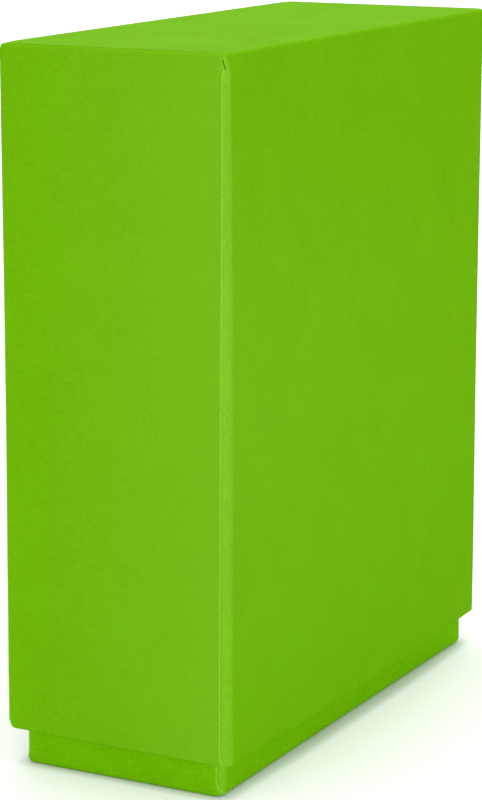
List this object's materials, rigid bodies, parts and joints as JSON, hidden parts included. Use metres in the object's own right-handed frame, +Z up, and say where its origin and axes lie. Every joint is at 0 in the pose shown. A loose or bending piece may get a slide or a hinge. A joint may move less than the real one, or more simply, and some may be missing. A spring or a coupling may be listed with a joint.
{
  "type": "board game box",
  "caption": "Tall rigid paper-wrapped game box: a deep lift-off lid slides down over an inner tray, whose foot shows as a narrow plinth below the lid's rim.",
  "frame": {"origin": "middle of the tray's underside, on the surface the box stands on", "axes": "+X across the narrow sides, +Y along the wide sides, +Z up, the way the lid lifts"},
  "size_m": [0.065, 0.158, 0.19],
  "materials": {
    "wrap_paper": "matt uncoated dyed paper, bright leaf green",
    "lining_paper": "matt white uncoated paper",
    "stay_tape": "gummed brown kraft paper",
    "greyboard": "recycled greyboard, flecked"
  },
  "bodies": {
    "tray": {"tray_board": "greyboard", "tray_lining": "lining_paper", "tray_wrap": "wrap_paper", "tray_stay_front_left": "stay_tape", "tray_stay_front_right": "stay_tape", "tray_stay_back_left": "stay_tape", "tray_stay_back_right": "stay_tape"},
    "lid": {"lid_board": "greyboard", "lid_lining": "lining_paper", "lid_wrap": "wrap_paper", "lid_stay_front_left": "stay_tape", "lid_stay_front_right": "stay_tape", "lid_stay_back_left": "stay_tape", "lid_stay_back_right": "stay_tape"}
  },
  "joints": [
    {"name": "lid_lift", "type": "slide", "parent": "tray", "child": "lid", "axis": [0, 0, 1], "range_m": [0, 0.25]}
  ]
}
